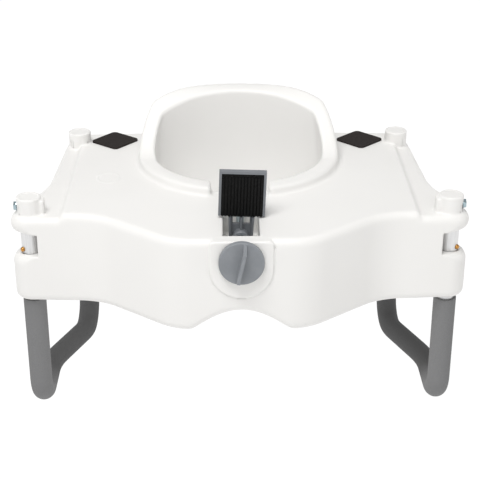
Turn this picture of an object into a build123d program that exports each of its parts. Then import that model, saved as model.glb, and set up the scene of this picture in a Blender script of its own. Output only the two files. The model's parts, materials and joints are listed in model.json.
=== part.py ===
from build123d import *

import os
from math import cos, radians, sin, sqrt

os.makedirs("parts", exist_ok=True)

# A raised toilet seat with two lift-out padded arms and a screw clamp for the bowl.
# It is modelled turned over, standing on its armrests: -Z is the sitting side, +Z is the side
# that goes down on the bowl, -Y is the front with the clamp knob. Millimetres throughout.

# ---- driving dimensions ------------------------------------------------------------------------
wall = 4.0                  # blow-moulded wall of the seat body
through = 220.0             # a cut this long passes right through the body

# heights above the plane that the armrests lie on
seat_z = 166.0              # sitting surface
ledge_z = 280.0             # shoulder round the deck
deck_z = 286.0              # deck that bears on the bowl
cap_z = 302.0               # tops of the socket caps
dip_z = 192.0               # top of the hygiene dip at the front
bolt_z = 289.0              # stop bolts across the front caps
screw_z = 261.0             # clamp screw
snap_z = 234.0              # snap buttons

# plan of the body
front_y = -171.0
rear_y = 198.0
ear_radius = 21.5
deck_half = 217.0

# rounded edges of the body
seat_rounding = 14.0
ledge_rounding = 8.0
deck_rounding = 6.0
cap_rounding = 4.0

# leg sockets
leg_x = 258.5
front_leg_y = -74.0
rear_leg_x = 218.0
rear_leg_y = 152.0
socket_radius = 11.5
socket_top_z = 298.0
socket_wall = 7.0           # solid plastic left round each socket
cap_x = 257.0
cap_radius = 15.0
window_bottom_z = 229.0
window_top_z = 258.0
window_x = 247.0
window_depth = 48.0

# splash guard and the opening through it
collar_y = 86.0
collar_radius = 134.0
collar_rear_radius = 190.0
collar_rear_y = 186.0
collar_draft = 7.0
collar_corner = 24.0
rim_low_z = 297.0           # rim round the front
rim_high_z = 363.0          # rim across the back
rim_rise_start_y = 55.0
rim_rise_end_y = 165.0
rim_rounding = 4.5
hole_y = 89.0
hole_radius = 114.0
hole_rear_radius = 179.0
hole_rear_y = 158.0
hole_corner = 22.0
hole_draft = 9.0            # the opening narrows up the splash guard
notch_half = 36.0
notch_y = -46.0
notch_depth = 60.0

# clamp
plate_half = 37.5
plate_centre_z = 250.0
plate_straight = 30.0
plate_face_y = -174.0
plate_depth = 9.0
slot_half = 21.5
slot_front_y = -157.0
slot_rear_y = -36.0
slot_floor_z = 232.0
screw_radius = 5.0
screw_hole_radius = 5.4
screw_tip_y = -37.5
clip_y = -155.0
groove_radius = 4.2
clip_radius = 8.0
clip_thickness = 1.1
knob_radius = 26.7
knob_hub_radius = 11.0
knob_skirt = 2.5
knob_hollow = 3.4
screw_grip = 4.5            # length of screw held in the knob
knob_back_y = -175.6
knob_face_y = -182.0
fin_y = -198.0
fin_angle = 9.3             # clockwise from upright
fin_root = 25.5             # half length of the fin on the knob, and at its crest
fin_crest = 19.0
jaw_back_y = -100.0
jaw_thickness = 4.0
jaw_lip = 3.0
jaw_low = 27.5              # head plate, measured up from the screw
jaw_high = 84.2
jaw_half = 28.0
bracket_roll = 2.0          # slack of the bracket in its slot, degrees clockwise
boss_front_y = -114.0
boss_radius = 10.0
neck_top_half = 15.5
neck_foot_half = 13.5
neck_flange = 2.5
foot_size = (40.0, 24.0, 3.4)
foot_gap = 5.0              # foot above the slot's floor
nut_flat = 8.0              # half across flats
pad_thickness = 3.0
rib_count = 13
rib_height = 2.0
peg_x = 13.5
peg_drop = 5.5
peg_radius = 1.3

# arms
tube_radius = 11.1
tube_wall = 1.2
foam_radius = 14.2
tube_top_z = 285.8
foam_top_left = 165.6
foam_top_right = 162.0
foam_top_rear = 160.0
front_bend = 32.0
rear_bend = 32.0
jog_start_y = 21.0
jog_end_y = 109.0
jog_end_x = 221.0
jog_start_radius = 110.0
jog_end_radius = 60.0
snap_angle = 48.0           # from straight ahead, outwards
snap_radius = 3.1
snap_reach = 14.2           # top of the button, from the tube's axis
snap_flange = 4.4
snap_root = 7.4

# stop bolts, M6
bolt_radius = 3.0
nut_half = 5.0
washer_radius = 6.0
bolt_face_x = 271.0
bolt_head = 3.0
nut_seat_x = 243.5
nut_length = 4.0
nut_lug = (12.0, 15.0, 22.0)
nut_lug_x = 244.0
washer_thickness = 1.0

# rim pads
rim_pad_side = 47.4
rim_pad_thickness = 2.5
rim_pad_corner = 6.0
rim_pad_y = 154.0
rim_pads = {"left": (-170.0, 50.7), "right": (168.0, 45.0)}

sides = {"left": -1, "right": 1}


def save(piece, name):
    """Label a finished piece and write it."""
    piece.label = name
    export_step(piece, f"parts/{name}.step")


# ---- plan sketches -----------------------------------------------------------------------------
# right half of the plan: corner and the radius that rounds it, from the front bulge to the back
plan_corners = [
    ((80.5, front_y), 70),
    ((176, front_leg_y - ear_radius), 80),
    ((leg_x + ear_radius, front_leg_y - ear_radius), ear_radius - 0.5),
    ((leg_x + ear_radius, -66), 30),
    ((246, 12), 130),
    ((237.5, 187), 30),
    ((0, rear_y + 1), 900),
]
left_corners = [((-x, y), r) for (x, y), r in reversed(plan_corners[:-1])]
outline_corners = plan_corners + left_corners

with BuildSketch() as body_plan:
    with BuildLine():
        FilletPolyline(
            [corner for corner, radius in outline_corners],
            radius=[radius for corner, radius in outline_corners],
            close=True,
        )
    make_face()

with BuildSketch() as body_core_plan:
    add(body_plan.sketch)
    offset(amount=-wall)

with BuildSketch() as deck_plan:
    add(body_plan.sketch)
    Rectangle(2 * deck_half, 3 * rear_y, mode=Mode.INTERSECT)

with BuildSketch() as deck_core_plan:
    add(body_core_plan.sketch)
    Rectangle(2 * (deck_half - wall), 3 * rear_y, mode=Mode.INTERSECT)


def flattened_ring(centre_y, radius, back_radius, back_y, corner, grow):
    """A circle whose back is cut off by a larger, flatter arc with rounded corners."""
    small = radius + grow
    large = back_radius + grow
    large_centre = back_y - back_radius
    gap = centre_y - large_centre
    meet_y = (large**2 - small**2 + centre_y**2 - large_centre**2) / (2 * gap)
    meet_x = sqrt(small**2 - (meet_y - centre_y) ** 2)
    with BuildSketch() as ring:
        with BuildLine():
            ThreePointArc((-meet_x, meet_y), (0, centre_y - small), (meet_x, meet_y))
            ThreePointArc((meet_x, meet_y), (0, back_y + grow), (-meet_x, meet_y))
        make_face()
        fillet(ring.vertices(), corner + grow)
    return ring.sketch


def collar_plan(grow=0.0):
    return flattened_ring(
        collar_y, collar_radius, collar_rear_radius, collar_rear_y, collar_corner, grow
    )


def hole_plan(grow=0.0):
    return flattened_ring(hole_y, hole_radius, hole_rear_radius, hole_rear_y, hole_corner, grow)


def opening(grow=0.0):
    """The opening: straight up through the body, then narrowing up the splash guard."""
    plan = hole_plan(grow)
    with BuildPart() as passage:
        with BuildSketch(Plane.XY.offset(seat_z - 1)):
            add(plan)
        extrude(amount=deck_z - seat_z + 1)
        with BuildSketch(Plane.XY.offset(deck_z)):
            add(plan)
        extrude(amount=collar_blank, taper=hole_draft)
    return passage.part


def below_rim(drop=0.0):
    """Everything under the rim, which stays low round the front and sweeps up to the back."""
    low = rim_low_z - drop
    high = rim_high_z - drop
    rise = rim_rise_end_y - rim_rise_start_y
    middle_y = (rim_rise_start_y + rim_rise_end_y) / 2
    with BuildPart() as block:
        with BuildSketch(Plane.YZ):
            with BuildLine():
                rim_line = Spline(
                    (-through, low),
                    (rim_rise_start_y - rise, low),
                    (rim_rise_start_y, low + 1),
                    (middle_y, (low + high) / 2),
                    (rim_rise_end_y, high - 1),
                    (rim_rise_end_y + rise, high),
                    tangents=((1, 0), (1, 0)),
                )
                Polyline(rim_line @ 1, (rim_line.position_at(1).X, 0), (-through, 0), rim_line @ 0)
            make_face()
        extrude(amount=2 * through, both=True)
    return block.part


def dip_profile(grow=0.0):
    """The front hygiene dip, seen along Y and open downwards."""
    with BuildSketch(Plane.XZ) as profile:
        with BuildLine():
            crest = Spline(
                (-58 - grow, seat_z - 2),
                (-34 - grow, 182 + grow),
                (0, dip_z + grow),
                (34 + grow, 182 + grow),
                (58 + grow, seat_z - 2),
            )
            Polyline(crest @ 1, (58 + grow, 150), (-58 - grow, 150), crest @ 0)
        make_face()
    return profile.sketch


front_sockets = [(side * leg_x, front_leg_y) for side in sides.values()]
rear_sockets = [(side * rear_leg_x, rear_leg_y) for side in sides.values()]
all_sockets = front_sockets + rear_sockets

front_caps = [(side * cap_x, front_leg_y) for side in sides.values()]

# ---- seat body: outside shape ------------------------------------------------------------------
collar_base = collar_plan()
collar_core_base = collar_plan(-wall)
collar_blank = 100.0        # height of the collar before its rim is cut
bowl_opening = opening()
opening_keepout = opening(wall)
under_rim = below_rim()
under_core_rim = below_rim(wall)
dip_face = dip_profile()
dip_wall_face = dip_profile(wall)

deck_root_z = ledge_z - 30
with BuildPart() as deck:
    with BuildSketch(Plane.XY.offset(deck_root_z)):
        add(deck_plan.sketch)
    extrude(amount=deck_z - deck_root_z)
    fillet(deck.faces().sort_by(Axis.Z)[-1].outer_wire().edges(), deck_rounding)

with BuildPart() as collar:
    with BuildSketch(Plane.XY.offset(ledge_z)):
        add(collar_base)
    extrude(amount=collar_blank, taper=collar_draft)
    add(bowl_opening, mode=Mode.SUBTRACT)
    add(under_rim, mode=Mode.INTERSECT)
    rim_face = collar.faces().filter_by(lambda face: face.normal_at().Z > 0.5)
    fillet(rim_face.edges(), rim_rounding)
    with Locations((0, notch_y, deck_z)):
        Box(
            2 * notch_half,
            notch_depth,
            through,
            align=(Align.CENTER, Align.CENTER, Align.MIN),
            mode=Mode.SUBTRACT,
        )

core_lap = 5.0              # lap between the storeys of the hollow
with BuildPart() as core:
    with BuildSketch(Plane.XY.offset(seat_z + wall)):
        add(body_core_plan.sketch)
    extrude(amount=ledge_z - seat_z - 2 * wall)
    with BuildSketch(Plane.XY.offset(ledge_z - wall - core_lap)):
        add(deck_core_plan.sketch)
    extrude(amount=deck_z - ledge_z + core_lap)
    with BuildSketch(Plane.XY.offset(deck_z - wall - core_lap)):
        add(collar_core_base)
    extrude(amount=collar_blank, taper=collar_draft)
    add(under_core_rim, mode=Mode.INTERSECT)
    # keep-outs: walls of the opening, the dip, the sockets, the clamp slot and the windows
    add(opening_keepout, mode=Mode.SUBTRACT)
    with BuildSketch(Plane.XZ):
        add(dip_wall_face)
    extrude(amount=through, both=True, mode=Mode.SUBTRACT)
    with BuildSketch(Plane.XY.offset(seat_z)):
        with Locations(all_sockets):
            Circle(socket_radius + socket_wall)
    extrude(amount=through, mode=Mode.SUBTRACT)
    slot_length = slot_rear_y - slot_front_y
    with Locations((0, (slot_front_y + slot_rear_y) / 2, slot_floor_z - wall)):
        Box(
            2 * (slot_half + wall),
            slot_length + 2 * wall,
            through,
            align=(Align.CENTER, Align.CENTER, Align.MIN),
            mode=Mode.SUBTRACT,
        )
    with Locations((0, notch_y, deck_z - wall)):
        Box(
            2 * (notch_half + wall),
            notch_depth + 2 * wall,
            through,
            align=(Align.CENTER, Align.CENTER, Align.MIN),
            mode=Mode.SUBTRACT,
        )

with BuildPart() as seat_body:
    with BuildSketch(Plane.XY.offset(seat_z)):
        add(body_plan.sketch)
    extrude(amount=ledge_z - seat_z)
    fillet(seat_body.faces().sort_by(Axis.Z)[-1].outer_wire().edges(), ledge_rounding)
    fillet(seat_body.faces().sort_by(Axis.Z)[0].outer_wire().edges(), seat_rounding)
    add(deck.part)
    # socket caps, with a nut lug on the inner side of each front one
    with BuildSketch(Plane.XY.offset(deck_root_z)):
        with Locations(front_caps + rear_sockets):
            Circle(cap_radius)
    extrude(amount=cap_z - deck_root_z)
    fillet(seat_body.faces().filter_by(Plane.XY).group_by(Axis.Z)[-1].edges(), cap_rounding)
    for side in sides.values():
        with Locations((side * nut_lug_x, front_leg_y, ledge_z - wall)):
            Box(*nut_lug, align=(Align.CENTER, Align.CENTER, Align.MIN))
    # D-shaped boss behind the knob
    with BuildSketch(Plane.XZ.offset(-plate_face_y - plate_depth)):
        with Locations((0, plate_centre_z)):
            Circle(plate_half)
            Rectangle(2 * plate_half, plate_straight, align=(Align.CENTER, Align.MIN))
    extrude(amount=plate_depth)
    add(collar.part)
    # opening, dip and sockets
    add(bowl_opening, mode=Mode.SUBTRACT)
    with BuildSketch(Plane.XZ):
        add(dip_face)
    extrude(amount=through, mode=Mode.SUBTRACT)
    with BuildSketch(Plane.XY.offset(seat_z - 1)):
        with Locations(all_sockets):
            Circle(socket_radius)
    extrude(amount=socket_top_z - seat_z + 1, mode=Mode.SUBTRACT)
    # finger windows round the snap buttons
    for side in sides.values():
        with Locations((side * window_x, front_leg_y, window_bottom_z)):
            Box(
                through,
                window_depth,
                window_top_z - window_bottom_z,
                align=(Align.MIN if side > 0 else Align.MAX, Align.CENTER, Align.MIN),
                mode=Mode.SUBTRACT,
            )
    # clamp slot and the screw's hole through the front wall
    with Locations((0, (slot_front_y + slot_rear_y) / 2, slot_floor_z)):
        Box(
            2 * slot_half,
            slot_length,
            through,
            align=(Align.CENTER, Align.CENTER, Align.MIN),
            mode=Mode.SUBTRACT,
        )
    with BuildSketch(Plane.XZ.offset(-slot_front_y - 1)):
        with Locations((0, screw_z)):
            Circle(screw_hole_radius)
    extrude(amount=through, mode=Mode.SUBTRACT)
    # stop bolts: a cross hole, a spot face outside and a hexagon pocket for each nut inside
    bore_start_x = nut_seat_x - 2 * nut_length
    for side in sides.values():
        with BuildSketch(Plane.YZ.offset(side * bore_start_x)):
            with Locations((front_leg_y, bolt_z)):
                Circle(bolt_radius + 0.1)
        extrude(amount=side * through, mode=Mode.SUBTRACT)
        with BuildSketch(Plane.YZ.offset(side * bore_start_x)):
            with Locations((front_leg_y, bolt_z)):
                RegularPolygon(nut_half + 0.2, 6, major_radius=False)
        extrude(amount=side * (nut_seat_x - bore_start_x), mode=Mode.SUBTRACT)
        with BuildSketch(Plane.YZ.offset(side * bolt_face_x)):
            with Locations((front_leg_y, bolt_z)):
                Circle(washer_radius + 0.5)
        extrude(amount=side * through, mode=Mode.SUBTRACT)
    add(core.part, mode=Mode.SUBTRACT)
save(seat_body.part, "seat_body")


# ---- rim pads: rubber squares set cornerwise on the deck ------------------------------------------
for name, (pad_x, turn) in rim_pads.items():
    with BuildPart() as rim_pad:
        with BuildSketch(Plane.XY.offset(deck_z)):
            with Locations(Location((pad_x, rim_pad_y, 0), turn)):
                RectangleRounded(rim_pad_side, rim_pad_side, rim_pad_corner)
        extrude(amount=rim_pad_thickness)
        fillet(rim_pad.faces().sort_by(Axis.Z)[-1].edges(), 0.8)
    save(rim_pad.part, f"rim_pad_{name}")


# ---- clamp -------------------------------------------------------------------------------------
def front_plane(y, roll=0.0):
    """Upright plane across the screw, facing the front; roll turns it clockwise."""
    lean = radians(roll)
    return Plane(
        origin=(0, y, screw_z),
        x_dir=(cos(lean), 0, -sin(lean)),
        z_dir=(0, -1, 0),
    )


fin_up = (sin(radians(fin_angle)), 0, cos(radians(fin_angle)))
fin_side = Plane(
    origin=(0, 0, screw_z),
    x_dir=(0, -1, 0),
    z_dir=(-fin_up[2], 0, fin_up[0]),
)
with BuildPart() as grip_fin:
    # a slight S bend, with ends that slope in to the crest
    with BuildSketch(front_plane(knob_face_y + 1, fin_angle)):
        with BuildLine():
            near = Spline((-1.9, 26), (-1.4, 12), (-2.0, 0), (-2.6, -12), (-2.1, -26))
            far = Spline((2.1, 26), (2.6, 12), (2.0, 0), (1.4, -12), (1.9, -26))
            Line(near @ 0, far @ 0)
            Line(near @ 1, far @ 1)
        make_face()
    extrude(amount=knob_face_y + 1 - fin_y)
    with BuildSketch(fin_side):
        Polygon(
            (-knob_face_y - 1, fin_root),
            (-fin_y, fin_crest),
            (-fin_y, -fin_crest),
            (-knob_face_y - 1, -fin_root),
            align=None,
        )
    extrude(amount=10, both=True, mode=Mode.INTERSECT)
    fillet(grip_fin.faces().sort_by(Axis.Y)[0].edges(), 0.9)

with BuildPart() as clamp_knob:
    with BuildSketch(front_plane(knob_back_y)):
        Circle(knob_radius)
    extrude(amount=knob_back_y - knob_face_y)
    fillet(clamp_knob.faces().sort_by(Axis.Y)[0].edges(), 1.2)
    with BuildSketch(front_plane(knob_back_y)):
        Circle(knob_radius - knob_skirt)
        Circle(knob_hub_radius, mode=Mode.SUBTRACT)
    extrude(amount=knob_hollow, mode=Mode.SUBTRACT)
    add(grip_fin.part)
    with BuildSketch(front_plane(knob_back_y)):
        Circle(screw_radius)
    extrude(amount=screw_grip, mode=Mode.SUBTRACT)
save(clamp_knob.part, "clamp_knob")

with BuildPart() as clamp_screw:
    with BuildSketch(front_plane(screw_tip_y)):
        Circle(screw_radius)
    extrude(amount=screw_tip_y - knob_back_y + screw_grip)
    chamfer(clamp_screw.faces().sort_by(Axis.Y)[-1].edges(), 1)
    with BuildSketch(front_plane(clip_y)):
        Circle(screw_radius + 1)
        Circle(groove_radius, mode=Mode.SUBTRACT)
    extrude(amount=clip_thickness + 0.1, mode=Mode.SUBTRACT)
save(clamp_screw.part, "clamp_screw")


def flat_ring(plane, inner, outer, thickness):
    with BuildPart() as ring:
        with BuildSketch(plane):
            Circle(outer)
            Circle(inner, mode=Mode.SUBTRACT)
        extrude(amount=thickness)
    return ring.part


save(flat_ring(front_plane(plate_face_y - 0.2), 5.3, 11, 1.4), "knob_washer")
save(flat_ring(front_plane(slot_front_y + 0.9), 5.3, 9, 0.8), "clip_washer")

with BuildPart() as retaining_clip:
    with BuildSketch(front_plane(clip_y)):
        Circle(clip_radius)
        Circle(groove_radius, mode=Mode.SUBTRACT)
        Rectangle(6, 12, align=(Align.CENTER, Align.MAX), mode=Mode.SUBTRACT)
    extrude(amount=clip_thickness)
save(retaining_clip.part, "retaining_clip")

nut_cup_y = jaw_back_y + 6
jaw_mid = (jaw_low + jaw_high) / 2
jaw_height = jaw_high - jaw_low
foot_top = slot_floor_z - screw_z + foot_gap
frame_depth = jaw_thickness + 4
flange_depth = 9.0
with BuildPart() as clamp_bracket:
    # head plate, framed on three sides round the rubber pad
    with BuildSketch(front_plane(jaw_back_y, bracket_roll)):
        with Locations((0, jaw_mid)):
            Rectangle(2 * jaw_half, jaw_height)
    extrude(amount=jaw_thickness)
    with BuildSketch(front_plane(jaw_back_y, bracket_roll)):
        with Locations((0, jaw_mid)):
            Rectangle(2 * jaw_half, jaw_height)
        with Locations((0, jaw_mid - jaw_lip)):
            Rectangle(2 * (jaw_half - jaw_lip), jaw_height, mode=Mode.SUBTRACT)
    extrude(amount=frame_depth)
    # tapered neck with two windows
    with BuildSketch(front_plane(jaw_back_y, bracket_roll)):
        Polygon(
            (neck_top_half, jaw_low),
            (neck_foot_half, foot_top),
            (-neck_foot_half, foot_top),
            (-neck_top_half, jaw_low),
            align=None,
        )
        with Locations((0, jaw_low - 7)):
            with GridLocations(12.6, 1, 2, 1):
                Rectangle(8, 9, mode=Mode.SUBTRACT)
    extrude(amount=jaw_thickness)
    with BuildSketch(front_plane(jaw_back_y, bracket_roll)):
        for lean in (-1, 1):
            Polygon(
                (lean * neck_top_half, jaw_low - 1.5),
                (lean * neck_foot_half, foot_top),
                (lean * (neck_foot_half - neck_flange), foot_top),
                (lean * (neck_top_half - neck_flange), jaw_low - 1.5),
                align=None,
            )
        Rectangle(neck_flange, jaw_low - 1.5, align=(Align.CENTER, Align.MIN))
    extrude(amount=flange_depth)
    # domed boss round the screw
    with BuildSketch(front_plane(jaw_back_y, bracket_roll)):
        Circle(boss_radius)
    extrude(amount=jaw_back_y - boss_front_y)
    fillet(clamp_bracket.faces().sort_by(Axis.Y)[0].edges(), 3)
    # guide foot and the web that stiffens it
    foot_width, foot_depth, foot_thickness = foot_size
    with BuildSketch(front_plane(jaw_back_y + jaw_thickness, bracket_roll)):
        with Locations((0, foot_top)):
            Rectangle(foot_width, foot_thickness, align=(Align.CENTER, Align.MAX))
    extrude(amount=foot_depth)
    with BuildSketch(front_plane(jaw_back_y, bracket_roll)):
        Rectangle(neck_flange, -foot_top, align=(Align.CENTER, Align.MAX))
    extrude(amount=jaw_back_y - boss_front_y)
    # hexagon cup for the nut, then the screw's way through
    with BuildSketch(front_plane(nut_cup_y, bracket_roll)):
        Circle(nut_flat + 3)
        RegularPolygon(nut_flat + 0.1, 6, major_radius=False, mode=Mode.SUBTRACT)
    extrude(amount=nut_cup_y - jaw_back_y)
    with BuildSketch(front_plane(nut_cup_y + 1, bracket_roll)):
        Circle(screw_hole_radius)
    extrude(amount=nut_cup_y + 2 - boss_front_y, mode=Mode.SUBTRACT)
save(clamp_bracket.part, "clamp_bracket")

pad_half = jaw_half - jaw_lip - 0.1
rib_pitch = 2 * pad_half / rib_count
pad_face_y = jaw_back_y - jaw_thickness
with BuildPart() as clamp_pad:
    with BuildSketch(front_plane(pad_face_y, bracket_roll)):
        with Locations((0, jaw_low)):
            Rectangle(2 * pad_half, jaw_height - jaw_lip - 0.2, align=(Align.CENTER, Align.MIN))
    extrude(amount=pad_thickness)
    with BuildSketch(front_plane(pad_face_y - pad_thickness, bracket_roll)):
        with Locations((0, jaw_low)):
            with GridLocations(rib_pitch, 1, rib_count, 1):
                Rectangle(
                    0.6 * rib_pitch, jaw_height - jaw_lip - 4, align=(Align.CENTER, Align.MIN)
                )
    extrude(amount=rib_height)
    with BuildSketch(front_plane(pad_face_y - pad_thickness, bracket_roll)):
        with Locations((0, jaw_high - peg_drop)):
            with GridLocations(2 * peg_x, 1, 2, 1):
                Circle(peg_radius)
    extrude(amount=rib_height)
save(clamp_pad.part, "clamp_pad")

with BuildPart() as clamp_nut:
    with BuildSketch(front_plane(nut_cup_y, bracket_roll)):
        RegularPolygon(nut_flat, 6, major_radius=False)
        Circle(screw_radius + 0.05, mode=Mode.SUBTRACT)
    extrude(amount=nut_cup_y - jaw_back_y - 0.1)
save(clamp_nut.part, "clamp_nut")


# ---- arms --------------------------------------------------------------------------------------
def arm_path(side, front_top, rear_top):
    """Route of an arm: down the front leg, back along the floor with a jog, up the rear leg."""
    return FilletPolyline(
        (side * leg_x, front_leg_y, front_top),
        (side * leg_x, front_leg_y, foam_radius),
        (side * leg_x, jog_start_y, foam_radius),
        (side * jog_end_x, jog_end_y, foam_radius),
        (side * rear_leg_x, rear_leg_y, foam_radius),
        (side * rear_leg_x, rear_leg_y, rear_top),
        radius=[front_bend, jog_start_radius, jog_end_radius, rear_bend],
    )


foam_tops = {"left": foam_top_left, "right": foam_top_right}
for name, side in sides.items():
    out = (side * sin(radians(snap_angle)), -cos(radians(snap_angle)), 0)
    across = (-out[1], out[0], 0)
    snap_origin = (side * leg_x, front_leg_y, snap_z)
    snap_plane = Plane(origin=snap_origin, x_dir=across, z_dir=out)

    with BuildPart() as arm_tube:
        with BuildLine():
            arm_line = arm_path(side, tube_top_z, tube_top_z)
        with BuildSketch(Plane(origin=arm_line @ 0, z_dir=arm_line % 0)):
            Circle(tube_radius)
            Circle(tube_radius - tube_wall, mode=Mode.SUBTRACT)
        sweep()
        with BuildSketch(snap_plane.offset(5)):
            Circle(snap_radius + 0.2)
        extrude(amount=10, mode=Mode.SUBTRACT)
    save(arm_tube.part, f"arm_tube_{name}")

    with BuildPart() as arm_foam:
        with BuildLine():
            foam_line = arm_path(side, foam_tops[name], foam_top_rear)
        with BuildSketch(Plane(origin=foam_line @ 0, z_dir=foam_line % 0)):
            Circle(foam_radius)
            Circle(tube_radius + 0.05, mode=Mode.SUBTRACT)
        sweep()
    save(arm_foam.part, f"arm_foam_{name}")

    with BuildPart() as snap_button:
        with BuildSketch(snap_plane.offset(snap_root)):
            Circle(snap_radius)
        extrude(amount=snap_reach - snap_root)
        fillet(snap_button.faces().sort_by(Axis(snap_origin, out))[-1].edges(), 2.7)
        with BuildSketch(snap_plane.offset(snap_root)):
            Circle(snap_flange)
        extrude(amount=1)
    save(snap_button.part, f"snap_button_{name}")

    # leaf spring folded in a V inside the tube
    leaf_plane = Plane(origin=snap_origin, x_dir=out, z_dir=across)
    lift = 1 if leaf_plane.y_dir.Z > 0 else -1
    with BuildPart() as snap_spring:
        with BuildLine(leaf_plane):
            leaf = FilletPolyline(
                (7.1, lift * 8),
                (7.1, lift * -6),
                (2, lift * -34),
                (-9.0, lift * -22),
                (-9.0, lift * 8),
                radius=[6, 4, 6],
            )
        with BuildSketch(Plane(origin=leaf @ 0, x_dir=across, z_dir=leaf % 0)):
            Rectangle(6, 0.5)
        sweep()
    save(snap_spring.part, f"snap_spring_{name}")

# ---- stop bolts --------------------------------------------------------------------------------
bolt_head_x = bolt_face_x + washer_thickness + 0.1
bolt_tip_x = nut_seat_x - nut_length - 0.3
with BuildPart() as stop_bolts:
    for side in sides.values():
        with BuildSketch(Plane.YZ.offset(side * bolt_tip_x)):
            with Locations((front_leg_y, bolt_z)):
                Circle(bolt_radius)
        extrude(amount=side * (bolt_head_x - bolt_tip_x + 1))
        with BuildSketch(Plane.YZ.offset(side * bolt_head_x)):
            with Locations((front_leg_y, bolt_z)):
                RegularPolygon(nut_half, 6, major_radius=False, rotation=30)
        extrude(amount=side * bolt_head)
save(stop_bolts.part, "stop_bolts")

with BuildPart() as stop_washers:
    for side in sides.values():
        with BuildSketch(Plane.YZ.offset(side * (bolt_face_x + 0.05))):
            with Locations((front_leg_y, bolt_z)):
                Circle(washer_radius)
                Circle(bolt_radius + 0.2, mode=Mode.SUBTRACT)
        extrude(amount=side * washer_thickness)
save(stop_washers.part, "stop_washers")

with BuildPart() as stop_nuts:
    for side in sides.values():
        with BuildSketch(Plane.YZ.offset(side * (nut_seat_x - 0.05))):
            with Locations((front_leg_y, bolt_z)):
                RegularPolygon(nut_half, 6, major_radius=False)
                Circle(bolt_radius + 0.01, mode=Mode.SUBTRACT)
        extrude(amount=-side * nut_length)
save(stop_nuts.part, "stop_nuts")
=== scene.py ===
import json
from math import cos, pi, radians, sin, sqrt, tan

import bmesh
import bpy
import numpy as np
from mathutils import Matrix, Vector


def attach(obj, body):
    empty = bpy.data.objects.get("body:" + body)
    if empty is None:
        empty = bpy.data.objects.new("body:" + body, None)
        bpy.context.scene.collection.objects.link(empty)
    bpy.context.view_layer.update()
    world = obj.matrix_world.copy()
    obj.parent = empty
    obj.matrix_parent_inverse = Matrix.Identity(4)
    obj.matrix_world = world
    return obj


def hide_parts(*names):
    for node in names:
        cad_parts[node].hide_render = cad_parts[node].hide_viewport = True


# The looks of a raised toilet seat that stands turned over on its armrests. The seat's shell is
# meshed from a distance model. The shell and the foam sleeves are worked out in millimetres, and
# everything else is in metres.

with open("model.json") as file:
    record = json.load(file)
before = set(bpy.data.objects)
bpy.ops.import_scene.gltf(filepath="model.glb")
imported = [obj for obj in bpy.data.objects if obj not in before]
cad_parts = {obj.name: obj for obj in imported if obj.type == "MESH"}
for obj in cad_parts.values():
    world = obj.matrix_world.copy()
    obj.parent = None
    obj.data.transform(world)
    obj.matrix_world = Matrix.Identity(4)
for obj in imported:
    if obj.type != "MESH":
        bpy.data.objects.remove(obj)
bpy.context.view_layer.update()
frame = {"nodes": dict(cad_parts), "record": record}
nodes = frame["nodes"]
scene = bpy.context.scene
scene.view_settings.view_transform = "Standard"
sides = {"left": -1, "right": 1}
mm = 0.001


# ---- camera ------------------------------------------------------------------------------------
def make_camera():
    aim = Vector((-0.0004, -0.074, 0.2412))
    distance = 1.5194
    pitch = radians(25.21)
    yaw = radians(0.8)
    back = Vector((-sin(yaw) * cos(pitch), -cos(yaw) * cos(pitch), sin(pitch)))
    data = bpy.data.cameras.new("camera")
    data.sensor_width = 36
    data.lens = 92.34
    data.clip_start = 0.05
    camera = bpy.data.objects.new("camera", data)
    camera.location = aim + back * distance
    camera.rotation_euler = (-back).to_track_quat("-Z", "Y").to_euler()
    scene.collection.objects.link(camera)
    scene.camera = camera


make_camera()


# ---- materials ---------------------------------------------------------------------------------
def new_material(name, color, roughness, metallic=0.0, **sockets):
    material = bpy.data.materials.new(name)
    material.use_nodes = True
    shader = material.node_tree.nodes["Principled BSDF"]
    shader.inputs["Base Color"].default_value = (*color, 1)
    shader.inputs["Roughness"].default_value = roughness
    shader.inputs["Metallic"].default_value = metallic
    for socket, value in sockets.items():
        shader.inputs[socket.replace("_", " ")].default_value = value
    return material


def add_node(material, kind, **settings):
    node = material.node_tree.nodes.new(kind)
    for name, value in settings.items():
        if name in node.inputs:
            node.inputs[name].default_value = value
        else:
            setattr(node, name, value)
    return node


def link(material, source, out_name, target, in_name):
    material.node_tree.links.new(source.outputs[out_name], target.inputs[in_name])


def noise(material, scale, detail=3.0, roughness=0.55, stretch=(1, 1, 1)):
    """Noise over the object's own coordinates, in cycles per metre."""
    where = add_node(material, "ShaderNodeTexCoord")
    mapping = add_node(material, "ShaderNodeMapping")
    mapping.inputs["Scale"].default_value = stretch
    texture = add_node(material, "ShaderNodeTexNoise")
    texture.inputs["Scale"].default_value = scale
    texture.inputs["Detail"].default_value = detail
    texture.inputs["Roughness"].default_value = roughness
    link(material, where, "Object", mapping, "Vector")
    link(material, mapping, "Vector", texture, "Vector")
    return texture


def vary_color(material, texture, dark, light, low=0.35, high=0.65):
    ramp = add_node(material, "ShaderNodeValToRGB")
    ramp.color_ramp.elements[0].position = low
    ramp.color_ramp.elements[0].color = (*dark, 1)
    ramp.color_ramp.elements[1].position = high
    ramp.color_ramp.elements[1].color = (*light, 1)
    shader = material.node_tree.nodes["Principled BSDF"]
    link(material, texture, "Fac", ramp, "Fac")
    link(material, ramp, "Color", shader, "Base Color")


def vary_roughness(material, texture, low, high):
    spread = add_node(material, "ShaderNodeMapRange")
    spread.inputs["To Min"].default_value = low
    spread.inputs["To Max"].default_value = high
    shader = material.node_tree.nodes["Principled BSDF"]
    link(material, texture, "Fac", spread, "Value")
    link(material, spread, "Result", shader, "Roughness")


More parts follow.
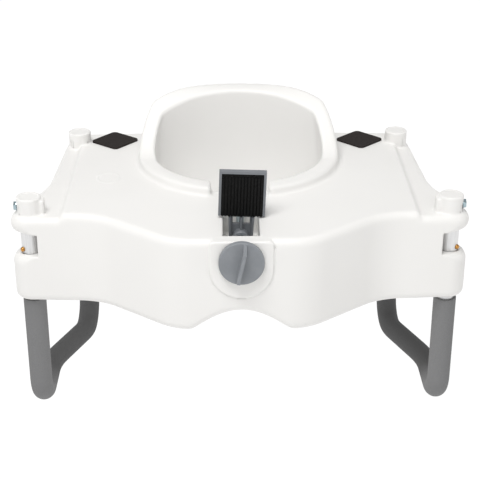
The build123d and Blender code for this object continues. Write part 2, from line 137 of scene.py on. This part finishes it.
def add_bump(material, texture, height, strength=1.0, below=None, out_name="Fac"):
    """Bump whose full swing is height metres. A second bump goes on top of the one below."""
    bump = add_node(material, "ShaderNodeBump")
    bump.inputs["Strength"].default_value = strength
    bump.inputs["Distance"].default_value = height
    link(material, texture, out_name, bump, "Height")
    if below is not None:
        link(material, below, "Normal", bump, "Normal")
    shader = material.node_tree.nodes["Principled BSDF"]
    link(material, bump, "Normal", shader, "Normal")
    return bump


def shade(color, factor):
    return tuple(channel * factor for channel in color)


def seat_plastic():
    """White blow-moulded polyethylene: satin, a little wavy, with the mould's fine blast grain."""
    white = (0.80, 0.79, 0.77)
    material = new_material("seat_plastic", white, 0.42, IOR=1.5)
    clouds = noise(material, 9, detail=2)
    vary_color(material, clouds, shade(white, 0.985), white)
    grain = noise(material, 1400, detail=2)
    vary_roughness(material, grain, 0.38, 0.5)
    waves = add_bump(material, noise(material, 22, detail=1), 0.0006, 0.35)
    add_bump(material, grain, 0.00006, 0.5, below=waves)
    return material


def foam_skin():
    """Closed-cell foam: matt grey with an open micro texture, and painted shade towards the back."""
    grey = (0.2, 0.2, 0.202)
    material = new_material("foam", grey, 0.88, Specular_IOR_Level=0.3)
    cells = noise(material, 1500, detail=4, roughness=0.7)
    vary_color(material, cells, shade(grey, 0.84), shade(grey, 1.12))
    add_bump(material, cells, 0.00018, 0.6)
    # painted shade: the foam's colour falls to half towards the back, where the seat shades it
    paint_shade_towards_back(material, -0.055, 0.0, 0.5)
    return material


def paint_shade_towards_back(material, start_y, end_y, factor):
    """Painted shade: darker towards the back, standing in for some of the shade under the seat."""
    where = add_node(material, "ShaderNodeTexCoord")
    split = add_node(material, "ShaderNodeSeparateXYZ")
    fade = add_node(material, "ShaderNodeMapRange", interpolation_type="SMOOTHSTEP")
    fade.inputs["From Min"].default_value = start_y
    fade.inputs["From Max"].default_value = end_y
    fade.inputs["To Min"].default_value = 1.0
    fade.inputs["To Max"].default_value = factor
    scale = add_node(material, "ShaderNodeVectorMath", operation="SCALE")
    shader = material.node_tree.nodes["Principled BSDF"]
    color = shader.inputs["Base Color"].links[0].from_socket
    material.node_tree.links.new(color, scale.inputs[0])
    link(material, where, "Object", split, "Vector")
    link(material, split, "Y", fade, "Value")
    link(material, fade, "Result", scale, "Scale")
    link(material, scale, "Vector", shader, "Base Color")


def moulded_plastic(name, color, roughness, grain_height):
    material = new_material(name, color, roughness, IOR=1.5)
    clouds = noise(material, 60, detail=3)
    vary_color(material, clouds, shade(color, 0.93), shade(color, 1.05))
    grain = noise(material, 2600, detail=3)
    vary_roughness(material, grain, roughness - 0.07, roughness + 0.07)
    add_bump(material, grain, grain_height, 0.6)
    return material


def pad_rubber():
    """Near-black rubber sheet with a pressed fabric texture."""
    dark = (0.026, 0.022, 0.021)
    material = new_material("pad_rubber", dark, 0.85, Specular_IOR_Level=0.12)
    cloth = noise(material, 900, detail=3)
    vary_color(material, cloth, shade(dark, 0.7), shade(dark, 1.35))
    waves = add_bump(material, noise(material, 60, detail=2), 0.0004, 0.4)
    add_bump(material, cloth, 0.00015, 0.8, below=waves)
    return material


def jaw_rubber():
    black = (0.006, 0.006, 0.006)
    material = new_material("jaw_rubber", black, 0.6, Specular_IOR_Level=0.12)
    dust = noise(material, 700, detail=4)
    vary_color(material, dust, shade(black, 0.7), shade(black, 1.8))
    add_bump(material, dust, 0.00005, 0.5)
    return material


def metal(name, color, roughness, stretch=(1, 1, 1), scale=900):
    """Metal with fine drawn or plated streaks."""
    material = new_material(name, color, roughness, metallic=1.0)
    streaks = noise(material, scale, detail=3, stretch=stretch)
    vary_color(material, streaks, shade(color, 0.88), color)
    vary_roughness(material, streaks, roughness - 0.08, roughness + 0.08)
    add_bump(material, streaks, 0.00002, 0.4)
    return material


slot_materials = {
    "seat_plastic": seat_plastic(),
    "foam": foam_skin(),
    "knob_plastic": moulded_plastic("knob_plastic", (0.225, 0.238, 0.255), 0.5, 0.00004),
    "bracket_plastic": moulded_plastic("bracket_plastic", (0.17, 0.18, 0.195), 0.45, 0.00005),
    "pad_rubber": pad_rubber(),
    "jaw_rubber": jaw_rubber(),
    "tube_aluminium": metal("tube_aluminium", (0.8, 0.8, 0.8), 0.45, (1, 1, 0.04)),
    "button_brass": metal("button_brass", (0.6, 0.3, 0.08), 0.2),
    "zinc_steel": metal("zinc_steel", (0.42, 0.52, 0.56), 0.16),
    "spring_steel": metal("spring_steel", (0.3, 0.31, 0.33), 0.35),
}
node_slots = {part["node"]: part["material_slot"] for part in frame["record"]["subparts"]}
for name, node in nodes.items():
    node.data.materials.clear()
    node.data.materials.append(slot_materials[node_slots[name]])


# ---- mesh helpers ------------------------------------------------------------------------------
def finish_piece(name, mesh, body, slot, *replaced):
    """Put a mesh into the scene as a piece that rides on a body."""
    mesh.validate()
    mesh.shade_smooth()
    mesh.materials.append(slot_materials[slot])
    piece = bpy.data.objects.new(name, mesh)
    scene.collection.objects.link(piece)
    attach(piece, body)
    if replaced:
        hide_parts(*replaced)
    return piece


# ---- seat shell: a distance model in millimetres -------------------------------------------------
# heights above the plane that the armrests lie on
seat_z = 166.0
ledge_z = 280.0
deck_z = 286.0
cap_z = 302.0
dip_z = 192.0
lobe_z = 164.0  # where the hygiene dip runs out into the lobes beside it
window_z = 243.5
bolt_z = 289.0

# plan of the body
front_y = -171.0
rear_y = 198.0
ear_radius = 21.5
deck_half = 217.0
lobe_x = 62.0

# leg sockets, their caps and the finger windows in the ears
leg_x = 258.5
front_leg_y = -74.0
rear_leg = (218.0, 152.0)
socket_radius = 11.5
socket_top_z = 292.0
sockets = [(leg_x, front_leg_y), rear_leg]
caps = [(257.0, front_leg_y), rear_leg]
cap_radius = 15.0
lug_x = 244.0
lug_half = (6.0, 7.5)
lug_top_z = 298.0
window_x = 247.0
window_half = (24.0, 14.5)
bolt_face_x = 271.0
spot_radius = 6.6

# splash guard and the opening through it
notch_y = -46.0
notch_half = (36.0, 30.0)
rim_low_z = 297.0
rim_high_z = 363.0
rim_rise = (55.0, 165.0)
collar_draft = tan(radians(7))
hole_draft = tan(radians(9))
lean_start = 30.0  # how softly the opening's wall begins to lean in

# boss behind the knob, and the clamp slot
plate_half = 37.5
plate_face_y = -174.0
plate_z = 250.0
slot_half = 21.5
slot_y = -96.5
slot_half_length = 60.5
slot_floor_z = 231.0

# emblem on the deck
emblem_x = -168.5
emblem_y = 21.5
emblem_half = (13.5, 17.5)

# right half of the plan: corner and the radius that rounds it, from the front bulge to the back
plan_corners = [
    ((80.5, front_y), 70),
    ((176, front_leg_y - ear_radius), 80),
    ((leg_x + ear_radius, front_leg_y - ear_radius), ear_radius - 0.5),
    ((leg_x + ear_radius, -66), 30),
    ((246, 12), 130),
    ((237.5, 187), 30),
    ((0, rear_y + 1), 900),
]
left_corners = [((-x, y), r) for (x, y), r in reversed(plan_corners[:-1])]


def rounded_outline(corners, arc_steps=40):
    """Points along a closed polygon whose corners are rounded."""
    points = []
    count = len(corners)
    for index, (corner, radius) in enumerate(corners):
        corner = np.array(corner, float)
        before = np.array(corners[index - 1][0], float) - corner
        after = np.array(corners[(index + 1) % count][0], float) - corner
        before /= np.hypot(*before)
        after /= np.hypot(*after)
        half = np.arccos(before @ after) / 2
        middle = (before + after) / np.hypot(*(before + after))
        centre = corner + middle * radius / sin(half)
        start = corner + before * radius / tan(half) - centre
        end = corner + after * radius / tan(half) - centre
        turn = np.arctan2(start[0] * end[1] - start[1] * end[0], start @ end)
        for step in np.linspace(0, turn, arc_steps):
            spin = np.array([[cos(step), -sin(step)], [sin(step), cos(step)]])
            points.append(centre + spin @ start)
    return np.array(points)


def polygon_distance(x, y, points):
    """Signed distance to a closed polygon, negative inside."""
    best = np.full(x.shape, 1e9)
    inside = np.zeros(x.shape, bool)
    for (ax, ay), (bx, by) in zip(points, np.roll(points, -1, axis=0)):
        ex, ey = bx - ax, by - ay
        length = ex * ex + ey * ey
        if length < 1e-12:
            continue
        wx, wy = x - ax, y - ay
        share = np.clip((wx * ex + wy * ey) / length, 0, 1)
        best = np.minimum(best, (wx - ex * share) ** 2 + (wy - ey * share) ** 2)
        crosses = (ay > y) != (by > y)
        if ey != 0:
            inside ^= crosses & (x < ax + (y - ay) * ex / ey)
    return np.where(inside, -1, 1) * np.sqrt(best)


def flattened_ring(centre_y, radius, back_radius, back_y, corner):
    """A circle whose back is cut off by a larger, flatter arc with rounded corners."""
    back_centre = back_y - back_radius
    gap = centre_y - back_centre
    near, far = radius - corner, back_radius - corner
    along = (far**2 - near**2 + gap**2) / (2 * gap)
    corner_x, corner_y = sqrt(far**2 - along**2), back_centre + along
    side_turn = np.arctan2(corner_y - centre_y, corner_x)
    back_turn = np.arctan2(corner_y - back_centre, corner_x)
    arcs = [
        (0, centre_y, radius, -pi / 2, side_turn),
        (corner_x, corner_y, corner, side_turn, back_turn),
        (0, back_centre, back_radius, back_turn, pi / 2),
    ]
    half = []
    for x, y, r, start, end in arcs:
        turns = np.linspace(start, end, max(8, int(r * (end - start) / 3)))
        half.append(np.stack([x + r * np.cos(turns), y + r * np.sin(turns)], axis=1))
    half = np.concatenate(half)
    return np.concatenate([half, half[::-1] * (-1, 1)])


class PlanField:
    """Distance to a closed outline, kept on a fine grid and read between its points."""

    def __init__(self, points, pitch=1.0, margin=24.0):
        self.pitch = pitch
        self.low = points.min(0) - margin
        size = np.ceil((points.max(0) + margin - self.low) / pitch).astype(int) + 1
        xs = self.low[0] + pitch * np.arange(size[0])
        ys = self.low[1] + pitch * np.arange(size[1])
        grid_x, grid_y = np.meshgrid(xs, ys, indexing="ij")
        self.values = polygon_distance(grid_x, grid_y, points)

    def __call__(self, x, y):
        column = np.clip((x - self.low[0]) / self.pitch, 0, self.values.shape[0] - 1.001)
        row = np.clip((y - self.low[1]) / self.pitch, 0, self.values.shape[1] - 1.001)
        i, j = column.astype(int), row.astype(int)
        u, v = column - i, row - j
        near = self.values[i, j] * (1 - v) + self.values[i, j + 1] * v
        far = self.values[i + 1, j] * (1 - v) + self.values[i + 1, j + 1] * v
        return near * (1 - u) + far * u


plan_field = PlanField(rounded_outline(plan_corners + left_corners))
collar_field = PlanField(flattened_ring(86, 134, 190, 186, 19), margin=70)
hole_field = PlanField(flattened_ring(89, 114.8, 182, 162, 18), margin=90)


def meet(a, b, radius):
    """What two shapes share, with the edge between them rounded."""
    corner = np.hypot(np.maximum(a + radius, 0), np.maximum(b + radius, 0))
    return np.minimum(np.maximum(a, b), -radius) + corner


def join(a, b, radius):
    """Two shapes together, with a fillet between them."""
    return -meet(-a, -b, radius)


def cut(a, b, radius):
    """The first shape less the second."""
    return meet(a, -b, radius)


def smoothstep(value, low, high):
    share = np.clip((value - low) / (high - low), 0, 1)
    return share * share * (3 - 2 * share)


def disc(x, y, centre_x, centre_y, radius):
    return np.hypot(x - centre_x, y - centre_y) - radius


def emblem_height(x, y):
    """A plain raised oval ring on the left of the deck."""
    radius = np.hypot((x - emblem_x) / emblem_half[0], (y - emblem_y) / emblem_half[1])
    return 0.5 * np.exp(-(((radius - 1) * 15.5 / 1.5) ** 2))


def top_height(x, y):
    """Top of the shell without its collar: the deck stands a soft step above the ledge."""
    step = smoothstep(deck_half + 3.5 - np.abs(x), 0, 7)
    return ledge_z + (deck_z - ledge_z) * step + emblem_height(x, y)


def sitting_height(x, y):
    """The sitting surface dips towards the opening and rises a little at the ears."""
    ring = np.clip(disc(x, y, 0, 70, 0) / 190, 0, 1.3)
    return seat_z + 5.5 * (1 - smoothstep(ring, 0.55, 1.0)) + 1.5 * smoothstep(np.abs(x), 200, 262)


def dip_height(x):
    """Crest of the hygiene dip: a cosine arch that runs straight down past its ends."""
    reach = np.abs(x)
    arch = lobe_z + (dip_z - lobe_z) * np.cos(np.minimum(reach, lobe_x) * pi / (2 * lobe_x))
    run = (dip_z - lobe_z) * pi / (2 * lobe_x) * np.maximum(reach - lobe_x, 0)
    return arch - run


def rim_height(y):
    """The rim stays low round the front and sweeps up to the back: its height and slope."""
    share = np.clip((y - rim_rise[0]) / (rim_rise[1] - rim_rise[0]), 0, 1)
    gain = rim_high_z - rim_low_z
    height = rim_low_z + gain * share * share * (3 - 2 * share)
    return height, gain / (rim_rise[1] - rim_rise[0]) * 6 * share * (1 - share)


def add_knob_boss(shell, reach, y, z):
    """D-shaped boss behind the knob, with a fine groove round it."""
    outline = np.where(z < plate_z, np.hypot(reach, z - plate_z), reach) - plate_half
    boss = meet(meet(outline, z - 285.6, 6), plate_face_y - y, 2.2)
    boss = np.maximum(boss, y + 160)
    groove = np.maximum(np.abs(outline - 1.0) - 1.0, y - front_y - 1.1)
    shell = cut(shell, np.maximum(groove, z - ledge_z), 0.5)
    return np.minimum(shell, boss)


def add_splash_guard(shell, x, y, z):
    """Drafted collar under the swept rim, with the notch at its front."""
    cone = (collar_field(x, y) + (z - ledge_z) * collar_draft) / sqrt(1 + collar_draft**2)
    rim_z, slope = rim_height(y)
    rim = (z - rim_z) / np.sqrt(1 + slope**2)
    collar = meet(cone, rim, 4)
    notch = np.maximum(np.abs(x) - notch_half[0], np.abs(y - notch_y) - notch_half[1])
    collar = np.maximum(cut(collar, notch, 4.5), 240 - z)
    return join(shell, collar, 3.5)


def add_caps(shell, reach, y, z):
    """Socket caps with dished tops, and the nut lugs beside the front ones."""
    for cap_x, cap_y in caps:
        spread = np.hypot(reach - cap_x, y - cap_y)
        dish = 0.9 * smoothstep(cap_radius - 2.2 - spread, 0, 1.4)
        cap = meet(spread - cap_radius, z - cap_z + dish, 2.4)
        shell = join(shell, np.maximum(cap, 220 - z), 2.5)
    lug = meet(np.abs(reach - lug_x) - lug_half[0], np.abs(y - front_leg_y) - lug_half[1], 2.5)
    lug = np.maximum(meet(lug, z - lug_top_z, 2.5), 240 - z)
    return join(shell, lug, 2.0)


def shape_underside(shell, x, y, z):
    """Sitting surface with its hygiene dip, and the opening with its softened lip."""
    keep_dip = np.minimum(dip_height(x) - z, 20 - y)
    base = meet(sitting_height(x, y) - z, keep_dip, 5)
    shell = meet(shell, base, 10)
    lip = 13 - 5.5 * smoothstep(z, 200, 240) - 5 * smoothstep(z, 288, 298)
    rise = z - deck_z
    hole = hole_field(x, y) + (rise + np.hypot(rise, lean_start)) / 2 * hole_draft
    return cut(shell, hole, lip)


def cut_windows(shell, reach, y, z):
    """Finger windows: the flange above and the lobe below round off outwards."""
    across, up = window_half
    window = np.maximum(np.abs(y - front_leg_y) - across, np.abs(z - window_z) - up)
    window = np.maximum(window, window_x - reach)
    return cut(shell, window, 1.5 + 9.5 * smoothstep(reach, 249, 268))


def cut_slot_and_sockets(shell, reach, y, z):
    """Clamp slot, leg sockets and the spot faces under the stop bolts."""
    slot = np.maximum(reach - slot_half, np.abs(y - slot_y) - slot_half_length)
    slot = slot - 1.2 * smoothstep(268 - z, 0, 12)
    shell = cut(shell, np.maximum(slot, slot_floor_z - z), 1.6)
    for leg in sockets:
        bore = disc(reach, y, *leg, socket_radius)
        shell = cut(shell, np.maximum(bore, z - socket_top_z), 1.2)
    spot = np.maximum(np.hypot(y - front_leg_y, z - bolt_z) - spot_radius, bolt_face_x - reach)
    return np.maximum(shell, -spot)


def seat_distance(x, y, z):
    """Distance to the seat's shell in millimetres, negative inside."""
    reach = np.abs(x)
    shell = meet(plan_field(x, y), (z - top_height(x, y)) * 0.9, 8.5)
    shell = add_knob_boss(shell, reach, y, z)
    shell = add_splash_guard(shell, x, y, z)
    shell = add_caps(shell, reach, y, z)
    shell = shape_underside(shell, x, y, z)
    shell = cut_windows(shell, reach, y, z)
    return cut_slot_and_sockets(shell, reach, y, z)


def surface_net(values, low, cell):
    """Quads through the zero level of a block of distances."""
    inside = values < 0
    corners = [(i, j, k) for i in (0, 1) for j in (0, 1) for k in (0, 1)]
    sizes = [n - 1 for n in values.shape]
    blocks = [inside[i : sizes[0] + i, j : sizes[1] + j, k : sizes[2] + k] for i, j, k in corners]
    active = np.logical_or.reduce(blocks) & ~np.logical_and.reduce(blocks)
    cells = np.argwhere(active)
    number = np.full(sizes, -1)
    number[active] = np.arange(len(cells))
    total = np.zeros((len(cells), 3))
    count = np.zeros(len(cells))
    for a in range(8):
        for b in range(a + 1, 8):
            start, end = np.array(corners[a]), np.array(corners[b])
            if np.abs(start - end).sum() != 1:
                continue
            first = values[tuple((cells + start).T)]
            second = values[tuple((cells + end).T)]
            crosses = (first < 0) != (second < 0)
            share = np.where(crosses, first / np.where(crosses, first - second, 1), 0)
            total += crosses[:, None] * (start + share[:, None] * (end - start))
            count += crosses
    points = low + cell * (cells + total / count[:, None])
    quads = []
    for axis in range(3):
        step = np.eye(3, dtype=int)
        along, right, up = step[axis], step[(axis + 1) % 3], step[(axis + 2) % 3]
        ends = [size - shift for size, shift in zip(values.shape, along)]
        near = inside[: ends[0], : ends[1], : ends[2]]
        far = inside[along[0] :, along[1] :, along[2] :]
        edges = np.argwhere(near != far)
        outward = near[tuple(edges.T)]
        ring = [edges - right - up, edges - up, edges, edges - right]
        quad = np.stack([number[tuple(r.T)] for r in ring], axis=1)
        quads.append(np.where(outward[:, None], quad, quad[:, ::-1]))
    return points, np.concatenate(quads)


def settle(points, distance, steps=3, reach=2.0):
    """Move points onto the surface of a distance model."""
    step = 0.15
    for _ in range(steps):
        x, y, z = points.T
        here = distance(x, y, z)
        slope = np.stack(
            [
                distance(x + step, y, z) - distance(x - step, y, z),
                distance(x, y + step, z) - distance(x, y - step, z),
                distance(x, y, z + step) - distance(x, y, z - step),
            ],
            axis=1,
        ) / (2 * step)
        steep = np.maximum((slope**2).sum(1), 0.2)
        move = slope * (here / steep)[:, None]
        length = np.maximum(np.linalg.norm(move, axis=1), 1e-9)
        points = points - move * np.minimum(1, reach / length)[:, None]
    return points


def relax(points, faces):
    """Even the mesh out: each point goes half way to the middle of its neighbours."""
    total = np.zeros_like(points)
    count = np.zeros(len(points))
    for a in range(4):
        for b in ((a + 1) % 4, (a + 3) % 4):
            np.add.at(total, faces[:, a], points[faces[:, b]])
            np.add.at(count, faces[:, a], 1)
    return points * 0.5 + 0.5 * total / np.maximum(count, 1)[:, None]


def needs_detail(centre):
    """Where the shell has edges finer than the mesh's cells."""
    x, y, z = abs(centre[0]), centre[1], centre[2]
    cap = any((x - cx) ** 2 + (y - cy) ** 2 < 18.5**2 for cx, cy in caps) and z > 277
    lug = 232 < x < 252 and abs(y - front_leg_y) < 11 and z > 276
    plate = x < 43 and y < -166 and z > 208
    slot = x < 27 and -163 < y < -30 and z > 279
    window = x > 243 and abs(y - front_leg_y) < 28 and 224 < z < 263
    emblem = ((centre[0] - emblem_x) / 17) ** 2 + ((y - emblem_y) / 21) ** 2 < 1 and z > ledge_z
    return cap or lug or plate or slot or window or emblem


def seat_mesh(cell):
    low = np.array([-290.0, -182.0, 156.0]) + 0.31
    high = np.array([290.0, 206.0, 372.0])
    counts = np.ceil((high - low) / cell).astype(int) + 1
    xs, ys, zs = [low[a] + cell * np.arange(counts[a]) for a in range(3)]
    block = np.empty(counts, np.float32)
    plan_x, plan_y = np.meshgrid(xs, ys, indexing="ij")
    for layer, height in enumerate(zs):
        block[:, :, layer] = seat_distance(plan_x, plan_y, np.full_like(plan_x, height))
    points, faces = surface_net(block, low, cell)
    points = settle(points, seat_distance)
    for _ in range(2):
        points = settle(relax(points, faces), seat_distance, steps=2)
    mesh = bpy.data.meshes.new("seat_shell")
    mesh.from_pydata(points.tolist(), [], faces.tolist())
    build = bmesh.new()
    build.from_mesh(mesh)
    fine = [face for face in build.faces if needs_detail(face.calc_center_median())]
    edges = list({edge for face in fine for edge in face.edges})
    bmesh.ops.subdivide_edges(build, edges=edges, cuts=2, use_grid_fill=True)
    build.to_mesh(mesh)
    build.free()
    co = np.empty(len(mesh.vertices) * 3)
    mesh.vertices.foreach_get("co", co)
    co = settle(co.reshape(-1, 3), seat_distance, steps=3)
    mesh.vertices.foreach_set("co", (co * mm).ravel())
    mesh.update()
    return mesh


seat_shell = finish_piece(
    "seat_shell", seat_mesh(3.0), "seat", "seat_plastic", "seat_body"
)


# ---- foam sleeves ------------------------------------------------------------------------------
foam_radius = 14.2
foam_bore = 11.2
foam_lip = 1.2  # rounding of the sleeve's ends
foam_bends = [32, 110, 60, 32]
jog_start_y = 21.0
jog_end = (221.0, 109.0)
points_around = 56
foam_tops = {"left": (165.6, 160.0), "right": (162.0, 160.0)}


def bent_path(corners, radii, spacing=2.0):
    """Points along straight runs joined by arcs."""
    corners = [np.array(c, float) for c in corners]
    points = [corners[0]]
    for before, corner, after, radius in zip(corners, corners[1:], corners[2:], radii):
        back = (before - corner) / np.linalg.norm(before - corner)
        on = (after - corner) / np.linalg.norm(after - corner)
        half = np.arccos(back @ on) / 2
        middle = (back + on) / np.linalg.norm(back + on)
        centre = corner + middle * radius / sin(half)
        first = corner + back * radius / tan(half)
        sweep = pi - 2 * half
        u = (first - centre) / radius
        v = -back - (-back @ u) * u
        v /= np.linalg.norm(v)
        for angle in np.linspace(0, sweep, max(4, int(sweep * radius / spacing))):
            points.append(centre + radius * (u * cos(angle) + v * sin(angle)))
    points.append(corners[-1])
    fine = [points[0]]
    for a, b in zip(points, points[1:]):
        steps = max(1, int(np.linalg.norm(b - a) / spacing))
        fine += [a + (b - a) * s / steps for s in range(1, steps + 1)]
    return np.array(fine)


def ring_frames(path):
    """Across vectors along a path, carried along without twist."""
    tangents = np.gradient(path, axis=0)
    tangents /= np.linalg.norm(tangents, axis=1)[:, None]
    right = np.array([1.0, 0, 0])
    frames = []
    for tangent in tangents:
        right = right - (right @ tangent) * tangent
        right /= np.linalg.norm(right)
        frames.append((right, np.cross(tangent, right)))
    return tangents, frames


def foam_mesh(side, front_top, rear_top):
    corners = [
        (side * leg_x, front_leg_y, front_top),
        (side * leg_x, front_leg_y, foam_radius),
        (side * leg_x, jog_start_y, foam_radius),
        (side * jog_end[0], jog_end[1], foam_radius),
        (side * rear_leg[0], rear_leg[1], foam_radius),
        (side * rear_leg[0], rear_leg[1], rear_top),
    ]
    path = bent_path(corners, foam_bends)
    tangents, frames = ring_frames(path)
    angles = np.arange(points_around) * 2 * pi / points_around
    build = bmesh.new()

    def add_ring(centre, frame_pair, radius):
        right, up = frame_pair
        ring = [centre + radius * (cos(a) * right + sin(a) * up) for a in angles]
        return [build.verts.new(p * mm) for p in ring]

    # each end: up out of the bore, then over the rounded lip
    profile = [(foam_bore, 12), (foam_bore, 0.4), (foam_bore + 0.5, 0)]
    for turn in np.linspace(0, 1.4, 5):
        out = foam_radius - foam_lip + foam_lip * sin(turn)
        profile.append((out, foam_lip - foam_lip * cos(turn)))
    end_rings = []
    for end, way in ((0, -1), (len(path) - 1, 1)):
        centre, pair, tangent = path[end], frames[end], tangents[end]
        end_rings.append([add_ring(centre - way * depth * tangent, pair, r) for r, depth in profile])
    body = [add_ring(path[i], frames[i], foam_radius) for i in range(1, len(path) - 1)]
    chain = end_rings[0] + body + end_rings[1][::-1]
    for a, b in zip(chain, chain[1:]):
        for i in range(points_around):
            j = (i + 1) % points_around
            build.faces.new((a[i], a[j], b[j], b[i]))
    bmesh.ops.recalc_face_normals(build, faces=build.faces)
    mesh = bpy.data.meshes.new("foam")
    build.to_mesh(mesh)
    build.free()
    return mesh


for name, side in sides.items():
    sleeve = finish_piece(
        f"foam_sleeve_{name}",
        foam_mesh(side, *foam_tops[name]),
        f"arm_{name}",
        "foam",
        f"arm_foam_{name}",
    )


# ---- smooth shading on the CAD pieces --------------------------------------------------------------
for name, node in nodes.items():
    if not node.hide_render:
        node.data.shade_smooth()
        node.data.set_sharp_from_angle(angle=radians(35))


# ---- floor and light -------------------------------------------------------------------------------
def make_floor():
    mesh = bpy.data.meshes.new("floor")
    half = 6.0
    level = -0.115  # low enough to show the arms when they are pulled out
    corners = [(x * half, y * half, level) for x, y in ((-1, -1), (1, -1), (1, 1), (-1, 1))]
    mesh.from_pydata(corners, [], [(0, 1, 2, 3)])
    floor = bpy.data.objects.new("floor", mesh)
    scene.collection.objects.link(floor)
    material = new_material("floor", (0.12, 0.12, 0.12), 0.95, Specular_IOR_Level=0.0)
    shader = material.node_tree.nodes["Principled BSDF"]
    shader.inputs["Emission Color"].default_value = (1, 1, 1, 1)
    shader.inputs["Emission Strength"].default_value = 0.95
    mesh.materials.append(material)


def soft_light(name, place, target, size, power, color=(1, 1, 1)):
    data = bpy.data.lights.new(name, "AREA")
    data.shape = "RECTANGLE"
    data.size, data.size_y = size
    data.energy = power
    data.color = color
    light = bpy.data.objects.new(name, data)
    light.location = place
    aim = Vector(target) - Vector(place)
    light.rotation_euler = aim.to_track_quat("-Z", "Y").to_euler()
    scene.collection.objects.link(light)


def spot_light(name, place, target, spread, power):
    data = bpy.data.lights.new(name, "SPOT")
    data.spot_size = radians(spread)
    data.spot_blend = 1.0
    data.shadow_soft_size = 0.3
    data.energy = power
    light = bpy.data.objects.new(name, data)
    light.location = place
    aim = Vector(target) - Vector(place)
    light.rotation_euler = aim.to_track_quat("-Z", "Y").to_euler()
    scene.collection.objects.link(light)


make_floor()


def make_sky():
    """White round the horizon and dimmer overhead."""
    world = bpy.data.worlds.new("studio")
    world.use_nodes = True
    nodes = world.node_tree.nodes
    where = nodes.new("ShaderNodeTexCoord")
    split = nodes.new("ShaderNodeSeparateXYZ")
    fade = nodes.new("ShaderNodeMapRange")
    fade.interpolation_type = "SMOOTHSTEP"
    fade.inputs["From Min"].default_value = 0.13
    fade.inputs["From Max"].default_value = 0.2
    fade.inputs["To Min"].default_value = 1.0
    fade.inputs["To Max"].default_value = 0.54
    nodes["Background"].inputs["Color"].default_value = (1, 1, 1, 1)
    links = world.node_tree.links
    links.new(where.outputs["Generated"], split.inputs["Vector"])
    links.new(split.outputs["Z"], fade.inputs["Value"])
    links.new(fade.outputs["Result"], nodes["Background"].inputs["Strength"])
    scene.world = world


make_sky()
middle = (0, 0, 0.25)
soft_light("key", (-0.5, -1.0, 2.5), middle, (1.2, 1.2), 42)
spot_light("collar_spot", (0.35, -1.35, 1.15), (0, 0.12, 0.31), 17, 23)
